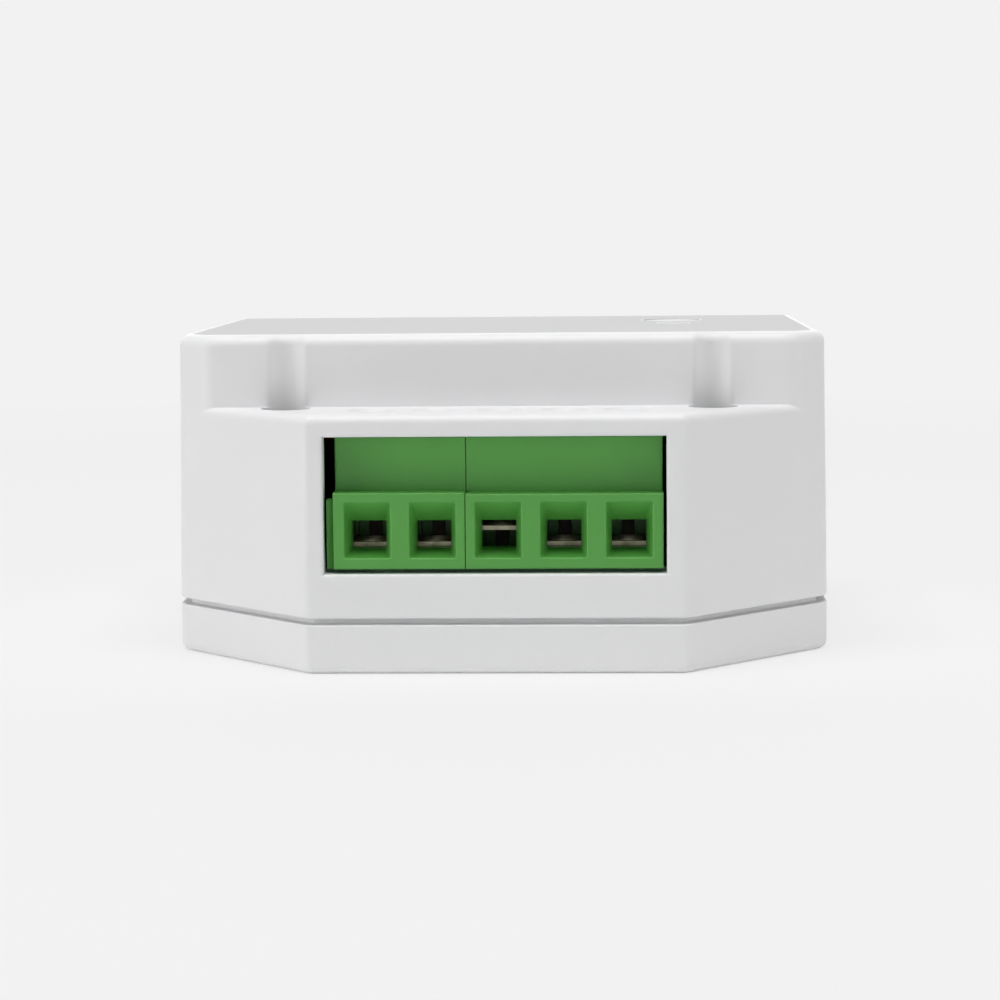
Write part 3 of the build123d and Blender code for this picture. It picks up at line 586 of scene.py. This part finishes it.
def build_row_tree():
    """A row of one shape along Y, such as the ridges on a clamp's floor."""
    tree, given = new_geometry_tree("ridge_row", (
        ("Count", INTEGER, 6), ("Spacing", FLOAT, 0.5 * MM), ("Width", FLOAT, 3 * MM),
        ("Base", FLOAT, 0.4 * MM), ("Rise", FLOAT, 0.15 * MM), ("Material", MATERIAL, None)))
    line = add_node(tree, "GeometryNodeMeshLine",
                    {"Count": given["Count"],
                     "Offset": add_node(tree, "ShaderNodeCombineXYZ",
                                        {1: given["Spacing"]}).outputs[0]})
    ridge = add_node(tree, "GeometryNodeMeshCylinder",
                     {"Vertices": 3, "Radius": 0.5, "Depth": 1.0})
    laid = add_node(tree, "GeometryNodeTransform",
                    {"Geometry": ridge.outputs["Mesh"], "Rotation": (0, math.pi / 2, math.pi)})
    sized = add_node(tree, "GeometryNodeTransform",
                     {"Geometry": laid.outputs[0],
                      "Scale": add_node(tree, "ShaderNodeCombineXYZ",
                                        {0: given["Width"], 1: given["Base"],
                                         2: given["Rise"]}).outputs[0]})
    row = add_node(tree, "GeometryNodeInstanceOnPoints",
                   {"Points": line.outputs[0], "Instance": sized.outputs[0]})
    return end_tree(tree, row.outputs[0], given["Material"])


def build_joint_tree():
    """A solder joint at each vertex of the mesh it is given, as a flared cone under the board."""
    waist = -1.5
    tree, given = new_geometry_tree("solder_joints", (
        ("Places", "NodeSocketGeometry", None), ("Foot", FLOAT, 0.9 * MM),
        ("Neck", FLOAT, 0.4 * MM), ("Length", FLOAT, 1.2 * MM), ("Material", MATERIAL, None)))
    cone = add_node(tree, "GeometryNodeMeshCone",
                    {"Vertices": 20, "Side Segments": 6, "Radius Top": given["Neck"],
                     "Radius Bottom": given["Foot"], "Depth": given["Length"]})
    at = add_node(tree, "ShaderNodeSeparateXYZ",
                  {0: add_node(tree, "GeometryNodeInputPosition").outputs[0]})
    up_share = maths(tree, "DIVIDE", at.outputs["Z"], given["Length"])
    hollow = maths(tree, "MULTIPLY", maths(tree, "SUBTRACT", 1.0, up_share), up_share)
    pinch = maths(tree, "MULTIPLY_ADD", hollow, waist, 1.0)
    place = add_node(tree, "ShaderNodeCombineXYZ",
                     {0: maths(tree, "MULTIPLY", at.outputs["X"], pinch),
                      1: maths(tree, "MULTIPLY", at.outputs["Y"], pinch), 2: at.outputs["Z"]})
    flared = add_node(tree, "GeometryNodeSetPosition",
                      {"Geometry": cone.outputs["Mesh"], "Position": place.outputs[0]})
    spread = add_node(tree, "GeometryNodeInstanceOnPoints",
                      {"Points": given["Places"], "Instance": flared.outputs[0],
                       "Rotation": (math.pi, 0, 0)})
    return end_tree(tree, spread.outputs[0], given["Material"])


# Fastenings and small parts
def make_terminal_screws(thread_tree):
    """Five slotted clamp screws, each turned a little further than the one before."""
    head_bottom = 16.3 * MM
    head_top = 17.8 * MM
    rounding = 0.25 * MM
    shoulder = 0.3 * rounding
    slot_width = 0.6 * MM
    slot_depth = 0.8 * MM
    tip = 12.75 * MM
    profile = [(0, head_bottom), (screw_head_radius, head_bottom),
               (screw_head_radius, head_top - rounding),
               (screw_head_radius - shoulder, head_top - shoulder),
               (screw_head_radius - rounding, head_top), (0, head_top)]
    for pole in poles:
        slot = box_mesh((0, 0, head_top), (4 * screw_head_radius, slot_width, 2 * slot_depth))
        head = cut_and_softened(lathe(profile), [slot])
        shank = grown(thread_tree, "zinc_steel", {
            "Crest Radius": 1.45 * MM, "Thread Depth": 0.26 * MM, "Pitch": 0.5 * MM, "Bottom": tip,
            "Top": head_bottom + 0.1 * MM, "Point": 0.3 * MM, "Around": 41, "Along": 90})
        mesh = joined(f"threaded_screw_{pole}", [head, shank])
        shifted(mesh, (pole_x(pole), screw_y, 0), pole * slot_turn)
        finished(f"threaded_screw_{pole}", mesh, "zinc_steel", f"screw_{pole}",
                 [f"terminal_screw_{pole}"])


def make_case_screws(thread_tree):
    """Two pan-head screws with crossed recesses, at the bottom of the pockets."""
    low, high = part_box("case_screws")
    boss_x = high.x - screw_head_radius
    boss_y = (low.y + high.y) / 2
    seat = 9.6 * MM
    rim_height = 0.85 * MM
    crown_start = 0.9 * MM
    crown = 0.6 * MM
    recess_floor = 0.7 * MM
    recess_arm = (2.2 * MM, 0.56 * MM, 2 * MM)
    head_turn = 0.4
    dome = [(0, seat), (screw_head_radius, seat), (screw_head_radius, seat + rim_height)]
    dome += [(screw_head_radius - crown * (1 - math.cos(angle)),
              seat + crown_start + crown * math.sin(angle)) for angle in quarter_turn()]
    dome.append((0, seat + crown_start + crown))
    recess_centre = (0, 0, seat + recess_floor + recess_arm[2] / 2)
    screws = []
    for side in (-1, 1):
        cutters = [box_mesh(recess_centre, recess_arm, turn) for turn in (0, math.pi / 2)]
        head = cut_and_softened(lathe(dome), cutters)
        shank = grown(thread_tree, "zinc_steel", {
            "Crest Radius": 1.1 * MM, "Thread Depth": 0.3 * MM, "Pitch": 0.85 * MM,
            "Bottom": 2.6 * MM, "Top": seat + 0.1 * MM, "Point": 1.5 * MM, "Around": 33,
            "Along": 100})
        screws.append(shifted(joined("screw", [head, shank]), (side * boss_x, boss_y, 0),
                              side * head_turn))
    finished("threaded_case_screws", joined("threaded_case_screws", screws), "zinc_steel", "case",
             ["case_screws"])


def make_clamp_ridges():
    """Gripping ridges on the floor of each clamp cage."""
    tree = build_row_tree()
    ridge_count = 6
    spacing = 0.56 * MM
    ridge_width = 0.5 * MM
    ridge_rise = 0.16 * MM
    ridge_lift = 0.02 * MM
    cage_floor = 0.35 * MM
    cage_wall = 0.4 * MM
    first_y = screw_y - spacing * (ridge_count - 1) / 2
    for pole in poles:
        low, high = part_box(f"clamp_cage_{pole}")
        mesh = grown(tree, "cage_metal", {
            "Count": ridge_count, "Spacing": spacing, "Width": high.x - low.x - 2 * cage_wall,
            "Base": ridge_width, "Rise": ridge_rise})
        shifted(mesh, (pole_x(pole), first_y, low.z + cage_floor + ridge_lift))
        finished(f"clamp_ridges_{pole}", mesh, "cage_metal", f"clamp_{pole}")


def make_choke_winding():
    """The choke's outer layer of turns over a plain core."""
    low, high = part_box("choke_winding")
    centre = (low + high) / 2
    wire_radius = 0.25 * MM
    turn_pitch = 2.04 * wire_radius
    steps_a_turn = 40
    layer_radius = (high.x - low.x) / 2 - wire_radius
    layer_height = high.z - low.z - 2 * wire_radius
    turns = layer_height / turn_pitch
    layer = grown(build_coil_tree(), "copper_wire", {
        "Turns": turns, "Radius": layer_radius, "Height": layer_height, "Wire Radius": wire_radius,
        "Steps": int(turns * steps_a_turn)})
    shifted(layer, (centre.x, centre.y, low.z + wire_radius))
    core_radius = layer_radius - wire_radius / 2
    profile = [(0, low.z), (core_radius, low.z), (core_radius, high.z), (0, high.z)]
    core = shifted(lathe(profile), (centre.x, centre.y, 0))
    finished("choke_turns", smooth_by_angle(joined("choke_turns", [layer, core]), 50), "copper_wire",
             "case", ["choke_winding"])


def make_solder_joints():
    """Solder under the main board, at every lead. Places are x and y, and a spread lies along X."""
    under_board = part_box("main_board")[0].z
    sides = (-1, 1)
    contact_y = -14.7 * MM
    header_start = (6.5 * MM, 18.6 * MM)
    header_pin_count = 6
    transistor_lead_x = 4.85 * MM
    transistor_y = (0.2 * MM, 10.8 * MM)
    transformer_place = (-3.6 * MM, 3.6 * MM)
    transformer_pin_reach = 4.2 * MM
    two_lead_parts = {
        "fuse": (-18.3 * MM, -6.6 * MM, 2 * lead_pitch),
        "varistor": (-9.2 * MM, -8.2 * MM, 2 * lead_pitch),
        "film_capacitor": (-17.0 * MM, 2.8 * MM, 10.0 * MM),
        "choke": (-16.8 * MM, 13.2 * MM, 5.0 * MM),
        "bulk_capacitor": (-4.6 * MM, 15.6 * MM, 3.5 * MM),
        "output_capacitor": (-1.0 * MM, -8.2 * MM, 2.0 * MM),
    }
    places = [(pole_x(pole), contact_y) for pole in poles]
    places += [(header_start[0] + pin * lead_pitch, header_start[1]) for pin in range(header_pin_count)]
    places += [(transistor_lead_x, y + lead * lead_pitch) for y in transistor_y for lead in (-1, 0, 1)]
    places += [(transformer_place[0] + i * transformer_pin_reach,
                transformer_place[1] + j * transformer_pin_reach) for i in sides for j in sides]
    places += [(x + side * spread / 2, y) for x, y, spread in two_lead_parts.values()
               for side in sides]
    points = bpy.data.meshes.new("joint_places")
    points.from_pydata([(*place, under_board) for place in places], [], [])
    joints = grown(build_joint_tree(), "tinned_copper",
                   {"Foot": 0.9 * MM, "Neck": 0.4 * MM, "Length": 1.2 * MM}, points)
    finished("solder_joints", joints, "tinned_copper", "case")


def make_antenna():
    """The bent wire antenna, with a rounded corner and a second leg."""
    low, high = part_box("antenna_wire")
    radius = 0.3 * MM
    bend = 0.8 * MM
    leg_spacing = 2.5 * MM
    x = (low.x + high.x) / 2
    front = low.y + radius
    top = high.z - radius
    curve = bpy.data.curves.new("antenna", "CURVE")
    curve.dimensions = "3D"
    curve.bevel_depth = radius
    curve.bevel_resolution = 4
    curve.use_fill_caps = True
    points = [(x, front, low.z), (x, front, top - bend)]
    points += [(x, front + bend * (1 - math.cos(angle)), top - bend * (1 - math.sin(angle)))
               for angle in quarter_turn(1)]
    points.append((x, high.y, top))
    spline = curve.splines.new("POLY")
    spline.points.add(len(points) - 1)
    for place, point in zip(spline.points, points):
        place.co = (*point, 1)
    holder = bpy.data.objects.new("antenna_curve", curve)
    bpy.context.scene.collection.objects.link(holder)
    wire = settled(holder)
    leg = shifted(lathe([(0, low.z), (radius, low.z), (radius, top), (0, top)], 20),
                  (x, front + leg_spacing, 0))
    finished("bent_antenna", smooth_by_angle(joined("bent_antenna", [wire, leg]), 40),
             "tinned_copper", "case", ["antenna_wire"])


thread_tree = build_thread_tree()
make_terminal_screws(thread_tree)
make_case_screws(thread_tree)
make_clamp_ridges()
make_choke_winding()
make_solder_joints()
make_antenna()


# Floor, surroundings, lamps and camera
def shows_backdrop(tree):
    """1 for the rays that should see the plain pale background."""
    rays = add_node(tree, "ShaderNodeLightPath").outputs
    seen = maths(tree, "MAXIMUM", rays["Is Camera Ray"], rays["Is Glossy Ray"])
    return maths(tree, "MAXIMUM", seen, rays["Is Transmission Ray"])


def make_world():
    """Even pale surroundings."""
    world = bpy.data.worlds.new("pale_studio")
    bpy.context.scene.world = world
    world.use_nodes = True
    tree = world.node_tree
    background = tree.nodes["Background"]
    tone = mix_colour(tree, shows_backdrop(tree), (*(ambient_level,) * 3, 1),
                      (*(backdrop_tone,) * 3, 1))
    tree.links.new(tone, background.inputs["Color"])
    background.inputs["Strength"].default_value = 1.0


def make_floor():
    """A wide pale floor that keeps the object's shadow near it and fades into the backdrop."""
    segments = 96
    shape = bmesh.new()
    bmesh.ops.create_circle(shape, cap_ends=True, segments=segments, radius=floor_radius)
    mesh = bpy.data.meshes.new("studio_floor")
    shape.to_mesh(mesh)
    shape.free()
    floor = bpy.data.objects.new("studio_floor", mesh)
    bpy.context.scene.collection.objects.link(floor)
    material = bpy.data.materials.new("studio_floor")
    material.use_nodes = True
    tree = material.node_tree
    tree.nodes.remove(tree.nodes["Principled BSDF"])
    place = add_node(tree, "ShaderNodeTexCoord").outputs["Object"]
    distance = add_node(tree, "ShaderNodeVectorMath", {0: place}, operation="LENGTH").outputs["Value"]
    near = span(tree, distance, shadow_reach, shadow_fade, 1.0, 0.0)
    glow = add_node(tree, "ShaderNodeEmission",
                    {"Color": (*(floor_glow,) * 3, 1), "Strength": 1.0})
    lit = add_node(tree, "ShaderNodeBsdfDiffuse", {"Color": (*(floor_albedo,) * 3, 1)})
    shadowed = add_node(tree, "ShaderNodeAddShader", {0: glow.outputs[0], 1: lit.outputs[0]})
    plain = add_node(tree, "ShaderNodeEmission",
                     {"Color": (*(backdrop_tone,) * 3, 1), "Strength": 1.0})
    seen = add_node(tree, "ShaderNodeMixShader",
                    {0: near, 1: plain.outputs[0], 2: shadowed.outputs[0]})
    bounce = add_node(tree, "ShaderNodeBsdfDiffuse", {"Color": (*(floor_bounce,) * 3, 1)})
    whole = add_node(tree, "ShaderNodeMixShader",
                     {0: shows_backdrop(tree), 1: bounce.outputs[0], 2: seen.outputs[0]})
    tree.links.new(whole.outputs[0], tree.nodes["Material Output"].inputs["Surface"])
    mesh.materials.append(material)


def aimed_at(place, target):
    """A turn that points a lamp's or camera's front at a target."""
    return (target - Vector(place)).to_track_quat("-Z", "Y")


def make_lamps():
    """Large soft boxes, which don't show in the picture."""
    for name, (place, size, power) in soft_boxes.items():
        light = bpy.data.lights.new(name, "AREA")
        light.shape = "RECTANGLE"
        light.size, light.size_y = size
        light.energy = power
        lamp = bpy.data.objects.new(name, light)
        lamp.location = place
        lamp.rotation_mode = "QUATERNION"
        lamp.rotation_quaternion = aimed_at(place, subject)
        lamp.visible_camera = False
        bpy.context.scene.collection.objects.link(lamp)


def make_camera():
    """The photograph's camera."""
    forward = Vector((math.sin(camera_yaw) * math.cos(camera_pitch),
                      math.cos(camera_yaw) * math.cos(camera_pitch), -math.sin(camera_pitch)))
    level = Vector((math.cos(camera_yaw), -math.sin(camera_yaw), 0))
    upright = level.cross(forward)
    right = level * math.cos(camera_roll) + upright * math.sin(camera_roll)
    up = upright * math.cos(camera_roll) - level * math.sin(camera_roll)
    turn = Matrix((right, up, -forward)).transposed().to_4x4()
    data = bpy.data.cameras.new("photo_camera")
    data.sensor_width = sensor_width
    data.lens = camera_lens
    data.clip_start = 0.01
    data.clip_end = 20
    camera = bpy.data.objects.new("photo_camera", data)
    camera.matrix_world = Matrix.Translation(camera_place) @ turn
    bpy.context.scene.collection.objects.link(camera)
    bpy.context.scene.camera = camera


make_world()
make_floor()
make_lamps()
make_camera()
bpy.context.scene.view_settings.view_transform = "Standard"
